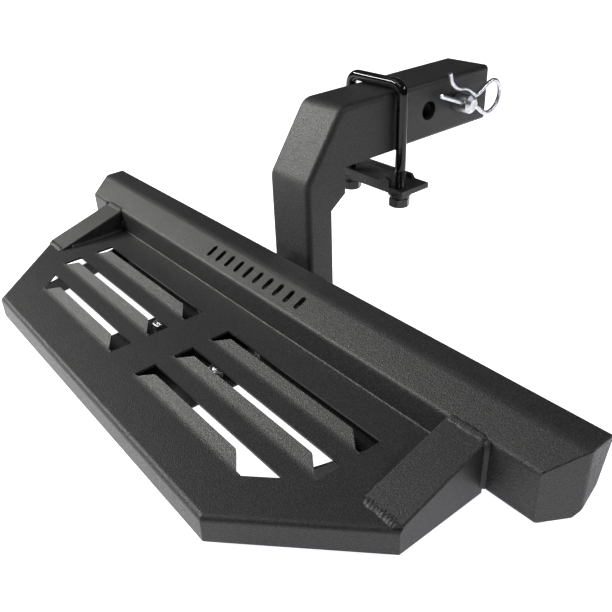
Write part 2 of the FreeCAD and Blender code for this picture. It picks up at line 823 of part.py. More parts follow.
def make_bracket():
    """Pressed channel: its web is the front, the shoulder and the top."""
    body = new_body("drop_bracket")
    section = sketch_on(body, "YZ_Plane", "bracket_outline")
    outline(section, BRACKET_OUTLINE)
    pad(body, section, dims.shank_size, both=True)
    bends = BRACKET_OUTLINE[1:3]
    round_edges(body, lambda edge: along_x_at(edge, bends), dims.shoulder_radius)

    def long_outer(edge):
        """The flanks' edges along the web: front, shoulder and top."""
        points = ends(edge)
        half = dims.shank_size.value / 2
        flank = (all(abs(abs(at.x) - half) < NEAR for at in points)
                 and abs(points[0].x - points[1].x) < NEAR)
        at = middle(edge)
        front = abs(at.y - dims.post_front.value) < NEAR
        top = abs(at.z - dims.shank_top.value) < NEAR
        steep = at.y - dims.post_front.value < (at.z - dims.gusset_high.value) * 0.75
        shoulder = at.y < dims.shoulder_y.value + dims.shoulder_radius.value and steep
        return flank and (front or top or shoulder)

    round_edges(body, long_outer, dims.bracket_radius)
    gauge = dims.bracket_gauge
    cavity = sketch_on(body, "YZ_Plane", "bracket_cavity")
    outline(cavity, [
        (dims.post_front + gauge, -dims.bar_low - POKE),
        (dims.post_front + gauge, dims.shoulder_low - dims.cavity_drop),
        (dims.shoulder_y + dims.cavity_shift, dims.shank_top - gauge),
        (dims.shank_start + POKE, dims.shank_top - gauge),
        (dims.shank_start + POKE, SHANK_LOW - POKE),
        (dims.gusset_rear + POKE, SHANK_LOW - POKE),
        (dims.gusset_rear + POKE, -dims.bar_low - POKE),
    ])
    pocket(body, cavity, dims.shank_size - 2 * gauge)
    node(body, "drop_bracket")


def make_back_strip():
    """Folded strip that closes the channel along the post's rear and the inner corner."""
    body = new_body("bracket_back_strip")
    section = sketch_on(body, "YZ_Plane", "strip_outline")
    gauge = dims.bracket_gauge
    outline(section, [
        (dims.post_rear, -dims.bar_low), (dims.post_rear, dims.gusset_low),
        (dims.gusset_rear, dims.gusset_high), (dims.gusset_rear, SHANK_LOW),
        (dims.shank_start, SHANK_LOW), (dims.shank_start, SHANK_LOW + gauge),
        (dims.gusset_rear - gauge, SHANK_LOW + gauge),
        (dims.gusset_rear - gauge, dims.gusset_high + dims.strip_shift),
        (dims.post_rear - gauge, dims.gusset_low + dims.strip_shift),
        (dims.post_rear - gauge, -dims.bar_low),
    ])
    pad(body, section, dims.shank_size - 2 * gauge - dims.play, both=True)
    node(body, "bracket_back_strip")


def make_web(side, sign):
    """Plate between the bar's rear and the post, standing on the foot plate."""
    body = new_body("web_plate_" + side)
    section = sketch_on(body, "YZ_Plane", "web_outline_" + side, sign * dims.web_inner)
    lean = (dims.bar_depth - dims.bar_knee_y) / (dims.bar_high - dims.bar_knee_z)
    knee = dims.bar_knee_y + 2 * dims.play
    outline(section, [
        (dims.bar_floor_run + 2 * dims.play, -dims.bar_low), (knee, dims.bar_knee_z),
        (knee + (dims.web_high - dims.bar_knee_z) * lean, dims.web_high),
        (dims.post_front, dims.web_high), (dims.post_front, -dims.bar_low),
    ])
    pad(body, section, dims.web_gauge, back=(side == "left"))
    node(body, "web_plate_" + side)


def square(half_width, low, high):
    return [(-half_width, high), (half_width, high), (half_width, low), (-half_width, low)]


def make_shank():
    body = new_body("shank_tube")
    section = sketch_on(body, "XZ_Plane", "shank_square", -dims.shank_start)
    half = dims.shank_size / 2
    outline(section, square(half, SHANK_LOW, dims.shank_top))
    pad(body, section, dims.shank_end - dims.shank_start, back=True)

    def long_edge(edge):
        points = ends(edge)
        return abs(points[0].y - points[1].y) > LONG_EDGE

    round_edges(body, long_edge, dims.shank_radius)
    wall = dims.shank_wall
    hollow = sketch_on(body, "XZ_Plane", "shank_hollow", -dims.shank_start)
    outline(hollow, square(half - wall, SHANK_LOW + wall, dims.shank_top - wall))
    pocket(body, hollow)
    holes = sketch_on(body, "YZ_Plane", "shank_holes")
    for along in (dims.free_hole, dims.pin_hole):
        circle(holes, (along, dims.shank_top - half), dims.pin_hole_radius)
    pocket(body, holes)
    node(body, "shank_tube")


# ---------------------------------------------------------------- welds
def fillet_section(corner, across, up=1):
    """A fillet weld's section in a corner; across and up are the ways it reaches."""
    leg = dims.bead
    crown = leg * dims.bead_crown
    return [
        corner, (corner[0] + across * leg, corner[1]),
        (corner[0] + across * crown, corner[1] + up * crown),
        (corner[0], corner[1] + up * leg),
    ]


def bead(name, role, start, section, length, back=False):
    """A weld bead: its section on one of the origin planes, moved to the start."""
    body = new_body(name)
    sketch = sketch_on(body, role, name + "_section", start)
    outline(sketch, section)
    pad(body, sketch, length, back=back)
    return body


def make_arm_welds():
    """Beads round each arm: toe, inner side, outer corner at the bar, and the seam."""
    bar_slope = (dims.bar_high - dims.slope_low) / dims.slope_run
    half = dims.seam_half
    share = dims.bead_crown
    seam = [
        (-half, dims.slope_low - half * ARM_SLOPE), (0, dims.slope_low),
        (half, dims.slope_low + half * bar_slope),
        (half * share, dims.slope_low + half * share * bar_slope + dims.seam_high),
        (-half * share, dims.slope_low - half * share * ARM_SLOPE + dims.seam_high),
    ]
    inner = dims.tread_half - dims.arm_width
    beads = []
    for side, sign in SIDES:
        start = inner if side == "right" else -dims.tread_half
        beads.append(bead("toe_bead_" + side, "YZ_Plane", start + dims.bead_end,
                          fillet_section((-dims.arm_run, 0), -1),
                          dims.arm_width - 2 * dims.bead_end))
        beads.append(bead("seam_bead_" + side, "YZ_Plane", start + dims.bead_end, seam,
                          dims.arm_width - 2 * dims.bead_end))
        side_start = dims.arm_run - dims.side_bead_start
        beads.append(bead("arm_bead_" + side, "XZ_Plane", side_start,
                          fillet_section((sign * inner, 0), -sign),
                          side_start - dims.bead, back=True))
        beads.append(bead("corner_bead_" + side, "XY_Plane", -dims.bar_low,
                          fillet_section((sign * dims.tread_half, 0), sign, -1),
                          dims.bar_low + dims.slope_low - 2 * dims.bead))
    node(group("arm_welds_group", beads), "arm_welds")


def make_welds():
    inner = dims.tread_half - dims.arm_width
    tread = bead("tread_bead", "YZ_Plane", -inner, fillet_section((0, 0), -1), 2 * inner)
    node(tread, "tread_weld")
    make_arm_welds()
    half = dims.shank_size / 2
    foot = -dims.bar_low
    posts = [bead("post_bead_rear", "YZ_Plane", -half,
                  fillet_section((dims.post_rear, foot), 1), 2 * half)]
    for side, sign in SIDES:
        posts.append(bead("post_bead_" + side, "XZ_Plane", -dims.post_front,
                          fillet_section((sign * half, foot), sign),
                          dims.post_rear - dims.post_front, back=True))
    node(group("post_welds_group", posts), "post_welds")


# ---------------------------------------------------------------- anti-rattle clamp
ROD_LEVEL = dims.shank_top + dims.rod_gap + dims.rod_radius
PLATE_LOW = dims.clamp_top - dims.clamp_gauge


def make_u_bolt():
    """Square-bend U-bolt: two legs, two quarter bends and the bar across."""
    corner = dims.rod_x - dims.rod_bend
    shoulder = ROD_LEVEL - dims.rod_bend
    pieces = [cylinder("rod_bar", dims.rod_radius, 2 * corner, -corner, dims.rod_y,
                       ROD_LEVEL, ((0, 1, 0), 90))]
    for side, sign in SIDES:
        pieces.append(cylinder("rod_leg_" + side, dims.rod_radius,
                               shoulder - dims.rod_low, sign * dims.rod_x, dims.rod_y,
                               dims.rod_low))
        pieces.append(quarter_bend("rod_bend_" + side, dims.rod_bend, dims.rod_radius,
                                   sign * corner, dims.rod_y, shoulder, sign))
    node(fused("u_bolt_rod", pieces), "u_bolt")


def make_clamp_plate():
    """Plate with a low lip along each long edge, and a horn at the front lip's end."""
    body = new_body("clamp_plate")
    plan = sketch_on(body, "XY_Plane", "clamp_outline", PLATE_LOW)
    outline(plan, [
        (-dims.clamp_half, dims.clamp_front), (dims.clamp_half, dims.clamp_front),
        (dims.clamp_half, dims.clamp_rear), (-dims.clamp_half, dims.clamp_rear),
    ])
    pad(body, plan, dims.clamp_gauge)
    top = dims.clamp_top
    end = dims.clamp_lip_end
    front = sketch_on(body, "XZ_Plane", "clamp_front_lip", -dims.clamp_front)
    outline(front, [
        (-dims.clamp_half, top - POKE), (-dims.clamp_half, top + dims.clamp_lip),
        (end - dims.clamp_horn_rise, top + dims.clamp_lip),
        (end - dims.clamp_horn_top, top + dims.clamp_horn),
        (end + dims.clamp_horn_past, top + dims.clamp_horn - dims.clamp_horn_fall),
        (end + dims.clamp_horn_past, top - POKE),
    ])
    pad(body, front, dims.clamp_lip_gauge, back=True)
    rear = sketch_on(body, "XZ_Plane", "clamp_rear_lip", -dims.clamp_rear)
    outline(rear, [
        (-dims.clamp_half, top - POKE), (-dims.clamp_half, top + dims.clamp_lip),
        (end, top + dims.clamp_lip), (end + dims.clamp_lip_slant, top - POKE),
    ])
    pad(body, rear, dims.clamp_lip_gauge)
    holes = sketch_on(body, "XY_Plane", "clamp_holes", PLATE_LOW)
    for side, sign in SIDES:
        circle(holes, (sign * dims.rod_x, dims.rod_y),
               dims.rod_radius + dims.hole_clearance)
    pocket(body, holes)
    node(body, "clamp_plate")


def make_clamp_fasteners():
    """Flat washer, spring washer and nut on each leg, below the plate."""
    flats = []
    springs = []
    flat_low = PLATE_LOW - dims.clamp_washer_gauge
    spring_low = flat_low - dims.spring_gauge
    nut_low = spring_low - dims.clamp_nut_height
    bore_radius = dims.rod_radius + 2 * dims.play
    for side, sign in SIDES:
        x = sign * dims.rod_x
        flats.append(ring("flat_" + side, dims.clamp_washer_radius, bore_radius,
                          dims.clamp_washer_gauge, x, dims.rod_y, flat_low))
        full = ring("spring_" + side, dims.spring_radius, bore_radius, dims.spring_gauge,
                    x, dims.rod_y, spring_low)
        split = doc.addObject("Part::Box", "spring_split_" + side)
        bind(split, "Length", dims.spring_split)
        bind(split, "Width", dims.clamp_washer_radius)
        bind(split, "Height", dims.spring_gauge + 2 * POKE)
        place(split, x - dims.spring_split / 2, dims.rod_y - dims.clamp_washer_radius,
              spring_low - POKE)
        springs.append(cut("spring_cut_" + side, full, split))
        blank = hexagon("clamp_nut_" + side, dims.clamp_nut_flats, dims.clamp_nut_height,
                        x, dims.rod_y, nut_low)
        bore = cylinder("clamp_bore_" + side, dims.rod_radius + NEAR,
                        dims.clamp_nut_height + 2 * POKE, x, dims.rod_y, nut_low - POKE)
        node(cut("clamp_nut_cut_" + side, blank, bore), "clamp_nut_" + side)
    node(group("flat_washers_group", flats), "clamp_washers")
    node(group("spring_washers_group", springs), "clamp_spring_washers")


# ---------------------------------------------------------------- hitch pin and R-clip
HOLE_LEVEL = dims.shank_top - dims.shank_size / 2


def make_hitch_pin():
    """Straight pin with a chamfered end, a quarter bend and a hanging handle."""
    tip = doc.addObject("Part::Chamfer", "pin_tip_round")
    tip.Base = cylinder("pin_round", dims.pin_radius, dims.pin_tip + dims.pin_bend_x,
                        -dims.pin_bend_x, dims.pin_hole, HOLE_LEVEL, ((0, 1, 0), 90))
    free_end = 3
    tip.Edges = [(free_end, dims.pin_chamfer.value, dims.pin_chamfer.value)]
    shoulder = HOLE_LEVEL - dims.pin_bend
    bend = quarter_bend("pin_bend_round", dims.pin_bend, dims.pin_radius,
                        -dims.pin_bend_x, dims.pin_hole, shoulder, -1)
    handle = cylinder("pin_handle_round", dims.pin_radius, dims.pin_handle,
                      -dims.pin_bend_x - dims.pin_bend, dims.pin_hole,
                      shoulder - dims.pin_handle)
    whole = fused("pin_whole", [tip, bend, handle])
    drill = cylinder("pin_cross", dims.clip_hole, 2 * OVERCUT, dims.clip_x,
                     dims.pin_hole - OVERCUT * trig("cos", dims.clip_tilt),
                     HOLE_LEVEL + OVERCUT * trig("sin", dims.clip_tilt),
                     ((-1, 0, 0), 90 + dims.clip_tilt.value))
    node(cut("pin_drilled", whole, drill), "hitch_pin")


# The R-clip's bent part as (along, across) its straight leg, from the pin's axis: first
# round the loop, then over the pin, and on to the raised end.
CLIP_BENDS = [
    (30.5, -3.2), (38.6, 0.4), (43.1, 6.8), (44.0, 13.6), (41.9, 20.2), (36.8, 25.2),
    (29.6, 26.6), (22.8, 23.0), (17.0, 16.8), (12.6, 12.0), (8.6, 9.4), (4.0, 10.2),
    (-7.0, 11.9), (-18.0, 10.4), (-28.4, 12.9), (-35.4, 20.2),
]


def tangent_arc(start, stop, heading):
    """The arc between two points that touches the line of the heading at one of them."""
    half = (stop - start).Length / 2
    chord = (stop - start).normalize()
    side = heading - chord * chord.dot(heading)
    if side.Length < STRAIGHT:
        return Part.LineSegment(start, stop).toShape()
    bulge = half * math.tan(math.asin(side.Length) / 2)
    return Part.Arc(start, start + chord * half + side.normalize() * bulge, stop).toShape()


def arc_pair(start, leaving, stop, arriving):
    """Two arcs that join the points smoothly, with the given directions at the ends."""
    across = stop - start
    both = (leaving + arriving).dot(across)
    spread = 2 * (1 - leaving.dot(arriving))
    if spread < STRAIGHT:
        reach = across.dot(across) / (2 * both)
    else:
        reach = (math.sqrt(both ** 2 + spread * across.dot(across)) - both) / spread
    middle = (start + stop + (leaving - arriving) * reach) / 2
    return [tangent_arc(start, middle, leaving), tangent_arc(middle, stop, -arriving)]


def make_pin_clip():
    """R-clip: a straight leg through the pin, a loop, and a wavy leg over the pin."""
    tilt = math.radians(dims.clip_tilt.value)
    along = Vector(0, math.cos(tilt), -math.sin(tilt))
    across = Vector(0, math.sin(tilt), math.cos(tilt))
    centre = Vector(dims.clip_x.value, dims.pin_hole.value, HOLE_LEVEL.value)
    tip = centre - along * dims.clip_leg.value
    points = [centre + along * dims.clip_straight.value]
    points += [centre + along * a + across * b for a, b in CLIP_BENDS]
    ways = [along]
    for before, after in zip(points, points[2:]):
        ways.append((after - before).normalize())
    ways.append((points[-1] - points[-2]).normalize())
    edges = [Part.LineSegment(tip, points[0]).toShape()]
    for number in range(len(points) - 1):
        edges += arc_pair(points[number], ways[number], points[number + 1], ways[number + 1])
    path = Part.Wire(edges)
    wire = Part.Wire(Part.Circle(tip, along, dims.clip_wire.value).toShape())
    clip = doc.addObject("Part::Feature", "pin_clip_wire")
    clip.Shape = path.makePipeShell([wire], True, True)
    node(clip, "pin_clip")


# ---------------------------------------------------------------- build
make_cross_bar()
make_tread()
for side, sign in SIDES:
    make_end_cap(side, sign)
    make_arm(side, sign)
    make_rib(side, sign)
    make_web(side, sign)
make_under_plate()
make_foot_plate()
make_foot_fasteners()
make_bracket()
make_back_strip()
make_shank()
make_welds()
make_u_bolt()
make_clamp_plate()
make_clamp_fasteners()
make_hitch_pin()
make_pin_clip()
doc.recompute()

for obj in doc.Objects:
    if "Invalid" in obj.State or "Error" in obj.State:
        raise RuntimeError(f"{obj.Label}: {obj.State}")
for label, obj in NODES.items():
    if obj.Shape.isNull() or not obj.Shape.isValid():
        raise RuntimeError(f"{label}: bad shape")
os.makedirs("parts", exist_ok=True)
for label, obj in NODES.items():
    shape = obj.Shape
    shape.exportStep(f"parts/{label}.step")
    box = shape.optimalBoundingBox()
    print(f"{label}: {len(shape.Solids)} solid(s), {shape.Volume / 1000:.2f} cm3,"
          f" x {box.XMin:.1f} {box.XMax:.1f}, y {box.YMin:.1f} {box.YMax:.1f},"
          f" z {box.ZMin:.1f} {box.ZMax:.1f}")
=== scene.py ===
"""The looks of a receiver-hitch step.

Textured powder coat over folded sheet, weld beads, a threaded U-bolt with its clamp, and a
plated hitch pin with its R-clip. Metres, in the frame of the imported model: +X along the bar,
+Y to the vehicle, +Z up.
"""
import json
import math

import bmesh
import bpy
from mathutils import Matrix, Vector


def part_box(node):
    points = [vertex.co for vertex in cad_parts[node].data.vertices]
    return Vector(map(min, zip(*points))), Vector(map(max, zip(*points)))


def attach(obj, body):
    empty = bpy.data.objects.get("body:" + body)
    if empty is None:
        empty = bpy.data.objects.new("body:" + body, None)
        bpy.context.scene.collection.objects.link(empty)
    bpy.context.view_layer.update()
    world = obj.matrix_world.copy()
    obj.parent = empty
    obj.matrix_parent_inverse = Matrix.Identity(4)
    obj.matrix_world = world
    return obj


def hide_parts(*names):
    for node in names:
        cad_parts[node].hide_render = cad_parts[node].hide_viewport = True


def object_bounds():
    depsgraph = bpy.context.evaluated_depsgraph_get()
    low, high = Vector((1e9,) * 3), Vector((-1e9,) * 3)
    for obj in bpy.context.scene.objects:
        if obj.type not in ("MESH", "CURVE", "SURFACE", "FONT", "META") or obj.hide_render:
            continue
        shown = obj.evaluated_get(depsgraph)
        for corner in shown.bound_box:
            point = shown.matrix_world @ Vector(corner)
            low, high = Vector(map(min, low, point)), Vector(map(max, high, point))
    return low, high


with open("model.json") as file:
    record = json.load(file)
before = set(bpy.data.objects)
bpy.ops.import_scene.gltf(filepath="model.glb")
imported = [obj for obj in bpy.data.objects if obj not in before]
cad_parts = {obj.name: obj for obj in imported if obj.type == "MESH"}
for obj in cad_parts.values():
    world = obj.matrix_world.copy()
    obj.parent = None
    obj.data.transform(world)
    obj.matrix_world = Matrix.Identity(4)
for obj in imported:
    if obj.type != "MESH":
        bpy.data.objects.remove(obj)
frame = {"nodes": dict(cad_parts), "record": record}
nodes = frame["nodes"]
cad_low, cad_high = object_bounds()
MM = 0.001
TAU = 2 * math.pi
X_WAY = Vector((1, 0, 0))
Y_WAY = Vector((0, 1, 0))
Z_WAY = Vector((0, 0, 1))


# ---------------------------------------------------------------- camera, floor, light
CAMERA_PLACE = (0.441113, -0.480221, 0.184595)
CAMERA_AZIMUTH = 54.51105   # the way it looks, in degrees
CAMERA_ELEVATION = -29.66067
CAMERA_ROLL = math.radians(-3.92221)
LIGHT_DISTANCE = 1.6        # metres from the middle of the object
FLOOR_HALF = 20.0
KEY_TINT = (1.0, 1.0, 0.97)
EDGE_TINT = (0.97, 0.96, 1.0)


def aim(obj, direction, roll=0.0):
    """Point an object's -Z along the direction, with its X level and then rolled."""
    back = -Vector(direction).normalized()
    right = Z_WAY.cross(back).normalized()
    up = back.cross(right)
    turned = right * math.cos(roll) + up * math.sin(roll)
    lifted = up * math.cos(roll) - right * math.sin(roll)
    obj.matrix_world = Matrix.Translation(obj.location) @ Matrix(
        (turned, lifted, back)).transposed().to_4x4()


def heading(azimuth, elevation):
    """A direction: azimuth 0 is +Y and 90 is -X; elevation is above the horizon."""
    a = math.radians(azimuth)
    e = math.radians(elevation)
    return Vector((-math.sin(a) * math.cos(e), math.cos(a) * math.cos(e), math.sin(e)))


def make_camera():
    """The camera fitted to the photo. The fit left the picture's centre free: hence the shift."""
    data = bpy.data.cameras.new("camera")
    data.sensor_width = 36.0
    data.lens = 41.725
    data.shift_x = 0.05643
    data.shift_y = -0.03303
    data.clip_start = 0.02
    camera = bpy.data.objects.new("camera", data)
    bpy.context.scene.collection.objects.link(camera)
    camera.location = CAMERA_PLACE
    aim(camera, heading(CAMERA_AZIMUTH, CAMERA_ELEVATION), CAMERA_ROLL)
    bpy.context.scene.camera = camera


def area_light(name, azimuth, elevation, wide, high, power, tint):
    """A soft box that faces the middle of the object from the given direction."""
    data = bpy.data.lights.new(name, "AREA")
    data.shape = "RECTANGLE"
    data.size = wide
    data.size_y = high
    data.energy = power
    data.color = tint
    light = bpy.data.objects.new(name, data)
    bpy.context.scene.collection.objects.link(light)
    way = heading(azimuth, elevation)
    light.location = (cad_low + cad_high) / 2 + way * LIGHT_DISTANCE
    aim(light, -way)


def make_studio():
    """Soft boxes over a dark world, and the pale floor that the object stands on."""
    world = bpy.data.worlds.new("studio")
    world.use_nodes = True
    sky = world.node_tree.nodes["Background"]
    sky.inputs["Color"].default_value = (0.024, 0.025, 0.026, 1)
    bpy.context.scene.world = world
    bpy.context.scene.view_settings.view_transform = "Standard"
    area_light("key_strip", 128, 34, 1.3, 0.10, 36, KEY_TINT)
    area_light("front_strip", 180, 57, 1.3, 0.10, 8, KEY_TINT)
    area_light("top_box", 110, 62, 0.8, 0.6, 1.6, KEY_TINT)
    area_light("edge_strip", -60, 38, 1.2, 0.06, 9, EDGE_TINT)

    mesh = bpy.data.meshes.new("floor")
    half = FLOOR_HALF
    level = cad_low.z
    mesh.from_pydata([(-half, -half, level), (half, -half, level), (half, half, level),
                      (-half, half, level)], [], [(0, 1, 2, 3)])
    floor = bpy.data.objects.new("floor", mesh)
    bpy.context.scene.collection.objects.link(floor)
    mat, _, shader = new_material("pale_floor")
    shader.inputs["Base Color"].default_value = (0.80, 0.80, 0.80, 1)
    shader.inputs["Roughness"].default_value = 0.9
    shader.inputs["Emission Color"].default_value = (0.965, 0.95, 1, 1)
    shader.inputs["Emission Strength"].default_value = 1.05
    mesh.materials.append(mat)
    # The camera and reflections see the floor. Its diffuse bounce would light the upright
    # walls more than the photo shows.
    floor.visible_diffuse = False


# ---------------------------------------------------------------- materials
def new_material(name):
    """A node material: itself, its node tree and its main shader."""
    mat = bpy.data.materials.new(name)
    mat.use_nodes = True
    return mat, mat.node_tree, mat.node_tree.nodes["Principled BSDF"]


def object_coords(tree):
    return tree.nodes.new("ShaderNodeTexCoord").outputs["Object"]


def noise(tree, coords, scale, detail=2.0, rough=0.5):
    """A noise factor; the scale counts its cells in a metre."""
    tex = tree.nodes.new("ShaderNodeTexNoise")
    tex.inputs["Scale"].default_value = scale
    tex.inputs["Detail"].default_value = detail
    tex.inputs["Roughness"].default_value = rough
    tree.links.new(coords, tex.inputs["Vector"])
    return tex.outputs["Fac"]


def ramp(tree, fac, low, high, from_low=0.35, from_high=0.65):
    """Maps a factor to a number between low and high."""
    node = tree.nodes.new("ShaderNodeMapRange")
    node.inputs["From Min"].default_value = from_low
    node.inputs["From Max"].default_value = from_high
    node.inputs["To Min"].default_value = low
    node.inputs["To Max"].default_value = high
    tree.links.new(fac, node.inputs["Value"])
    return node.outputs["Result"]


def colours(tree, fac, low, high):
    """A colour between low and high, mixed by a factor."""
    node = tree.nodes.new("ShaderNodeMix")
    node.data_type = "RGBA"
    node.inputs["A"].default_value = (*low, 1)
    node.inputs["B"].default_value = (*high, 1)
    tree.links.new(fac, node.inputs["Factor"])
    return node.outputs["Result"]


def bump(tree, shader, height, strength, distance, under=None):
    """Roughen the shader's normal by a height, over another bump if one is given."""
    node = tree.nodes.new("ShaderNodeBump")
    node.inputs["Strength"].default_value = strength
    node.inputs["Distance"].default_value = distance
    tree.links.new(height, node.inputs["Height"])
    if under:
        tree.links.new(under, node.inputs["Normal"])
    tree.links.new(node.outputs["Normal"], shader.inputs["Normal"])
    return node.outputs["Normal"]


def powder_coat():
    """Black polyester coat with a fine sandy texture."""
    mat, tree, shader = new_material("powder_coat")
    coords = object_coords(tree)
    grain = noise(tree, coords, 1150, 2, 0.6)
    patch = noise(tree, coords, 45, 3, 0.55)
    speck = colours(tree, ramp(tree, grain, 0, 1, 0.40, 0.66),
                    (0.0060, 0.0064, 0.0066), (0.052, 0.053, 0.053))
    veil = colours(tree, ramp(tree, patch, 0, 1), (0.013, 0.0135, 0.0132), (0.018, 0.0185, 0.0182))
    both = tree.nodes.new("ShaderNodeMix")
    both.data_type = "RGBA"
    both.inputs["Factor"].default_value = 0.6
    tree.links.new(veil, both.inputs["A"])
    tree.links.new(speck, both.inputs["B"])
    tree.links.new(both.outputs["Result"], shader.inputs["Base Color"])
    tree.links.new(ramp(tree, grain, 0.50, 0.33), shader.inputs["Roughness"])
    shader.inputs["IOR"].default_value = 1.39
    orange = bump(tree, shader, noise(tree, coords, 320, 2, 0.5), 0.10, 0.0004)
    bump(tree, shader, grain, 0.9, 0.00040, orange)
    return mat


def gloss_black():
    """Smooth black enamel on the U-bolt, with a little dust."""
    mat, tree, shader = new_material("gloss_black")
    coords = object_coords(tree)
    dust = noise(tree, coords, 300, 4, 0.6)
    tint = colours(tree, ramp(tree, dust, 0, 1, 0.5, 0.8), (0.006, 0.006, 0.007),
                   (0.016, 0.016, 0.016))
    tree.links.new(tint, shader.inputs["Base Color"])
    tree.links.new(ramp(tree, dust, 0.05, 0.11), shader.inputs["Roughness"])
    shader.inputs["IOR"].default_value = 1.36
    bump(tree, shader, noise(tree, coords, 420, 2, 0.5), 0.08, 0.0001)
    return mat


def black_fastener():
    """Blackened steel of nuts and washers, semi-gloss and a little uneven."""
    mat, tree, shader = new_material("black_fastener")
    coords = object_coords(tree)
    patch = noise(tree, coords, 700, 4, 0.6)
    tint = colours(tree, ramp(tree, patch, 0, 1), (0.018, 0.018, 0.019), (0.045, 0.044, 0.043))
    tree.links.new(tint, shader.inputs["Base Color"])
    shader.inputs["Metallic"].default_value = 0.35
    tree.links.new(ramp(tree, patch, 0.28, 0.45), shader.inputs["Roughness"])
    bump(tree, shader, patch, 0.25, 0.0001)
    return mat


def plated(name, base, worn, rough_low, rough_high, strength):
    """Zinc plate over steel: bright metal, with a faint mottle and fine drawing marks."""
    mat, tree, shader = new_material(name)
    coords = object_coords(tree)
    patch = noise(tree, coords, 260, 4, 0.6)
    tint = colours(tree, ramp(tree, patch, 0, 1), base, worn)
    tree.links.new(tint, shader.inputs["Base Color"])
    shader.inputs["Metallic"].default_value = 1.0
    tree.links.new(ramp(tree, patch, rough_low, rough_high), shader.inputs["Roughness"])
    bump(tree, shader, noise(tree, coords, 1400, 2, 0.5), strength, 0.0001)
    return mat


MATERIALS = {
    "powder_coat": powder_coat(),
    "gloss_black": gloss_black(),
    "black_fastener": black_fastener(),
    "zinc": plated("zinc", (0.62, 0.63, 0.64), (0.50, 0.51, 0.53), 0.25, 0.42, 0.15),
    "bright_zinc": plated("bright_zinc", (0.62, 0.63, 0.65), (0.42, 0.43, 0.46), 0.28, 0.40,
                          0.03),
}


# ---------------------------------------------------------------- mesh helpers
def corners(name):
    """A CAD node's lowest and highest corner."""
    low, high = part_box(name)
    return Vector(low), Vector(high)


def shell(rows, looped=False):
    """A closed skin over rings of points: capped at both ends, or looped back."""
    count = len(rows[0])
    verts = [point for row in rows for point in row]
    faces = []
    for number in range(len(rows) if looped else len(rows) - 1):
        here = number * count
        there = (number + 1) % len(rows) * count
        for k in range(count):
            after = (k + 1) % count
            faces.append([here + k, here + after, there + after, there + k])
    if not looped:
        faces.append(list(range(count)))
        faces.append(list(range(len(verts) - count, len(verts))))
    return verts, faces


def make_piece(name, skins, slot_name, body, *replaced, crease=35):
    """One object from several skins, smooth except at creases, riding on a body."""
    verts = []
    faces = []
    for skin_verts, skin_faces in skins:
        start = len(verts)
        verts += skin_verts
        faces += [[start + index for index in face] for face in skin_faces]
    mesh = bpy.data.meshes.new(name)
    mesh.from_pydata(verts, [], faces)
    shape = bmesh.new()
    shape.from_mesh(mesh)
    bmesh.ops.recalc_face_normals(shape, faces=shape.faces)
    shape.to_mesh(mesh)
    shape.free()
    mesh.shade_smooth()
    mesh.set_sharp_from_angle(angle=math.radians(crease))
    mesh.materials.append(MATERIALS[slot_name])
    obj = bpy.data.objects.new(name, mesh)
    bpy.context.scene.collection.objects.link(obj)
    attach(obj, body)
    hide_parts(*replaced)


# ---------------------------------------------------------------- threads, nuts, washers
FACE_SHARE = 0.475          # a chamfered face's radius, as a share of the width across flats
CORNER_SHARE = 0.985        # how much of a hexagon's corner radius is left when blunted
CHAMFER_SLOPE = math.tan(math.radians(30))


def thread_radius(outer, pitch, along, turn, length):
    """A threaded rod's radius at a distance from its end; the thread runs out at length."""
    deep = 0.6 * pitch
    run_out = 1.5 * pitch
    fade = min(1.0, max(0.0, (length - along) / run_out))
    crest = abs(2 * ((along / pitch + turn) % 1) - 1)
    return min(outer - deep * crest * fade, outer - deep + along)


def upright(x, y, profile, steps=48):
    """Rings round a vertical axis: the profile gives (radius, height) at each angle."""
    angles = [TAU * k / steps for k in range(steps)]
    around = [profile(angle) for angle in angles]
    rows = []
    for number in range(len(around[0])):
        row = []
        for angle, points in zip(angles, around):
            radius, height = points[number]
            row.append(Vector((x + radius * math.cos(angle), y + radius * math.sin(angle), height)))
        rows.append(row)
    return rows


def hexagon_radius(flats, angle, point_angle):
    """Distance from a hexagon's centre to its side, with slightly blunted corners."""
    turn = (angle - point_angle) % (TAU / 6) - TAU / 12
    return min(flats / 2 / math.cos(turn), CORNER_SHARE * flats / math.sqrt(3))


def hex_nut(x, y, low, high, flats, bore, point_angle):
    """A hexagon nut with both faces chamfered and its bore countersunk."""
    face = FACE_SHARE * flats
    sink = 0.06 * flats

    def profile(angle):
        side = hexagon_radius(flats, angle, point_angle)
        drop = (side - face) * CHAMFER_SLOPE
        return [(bore, low + sink), (bore + sink, low), (face, low), (side, low + drop),
                (side, high - drop), (face, high), (bore + sink, high), (bore, high - sink)]

    return shell(upright(x, y, profile, 60), looped=True)


def hex_head(x, y, low, high, flats, point_angle):
    """A bolt's head, its free face below, chamfered and dished, on a washer face."""
    face = FACE_SHARE * flats
    dish = 0.55 * face
    rim = 0.70 * face
    step = 0.3 * MM

    def profile(angle):
        side = hexagon_radius(flats, angle, point_angle)
        drop = (side - face) * CHAMFER_SLOPE
        return [(dish, low + step), (rim, low), (face, low), (side, low + drop),
                (side, high - step), (face, high - step), (face, high)]

    return shell(upright(x, y, profile, 60))


def washer(x, y, low, high, inner, outer):
    """A flat washer with rounded rims."""
    soft = 0.2 * (high - low)
    section = [(inner, low), (outer - soft, low), (outer, low + soft), (outer, high - soft),
               (outer - soft, high), (inner, high)]
    return shell(upright(x, y, lambda angle: section, 64), looped=True)


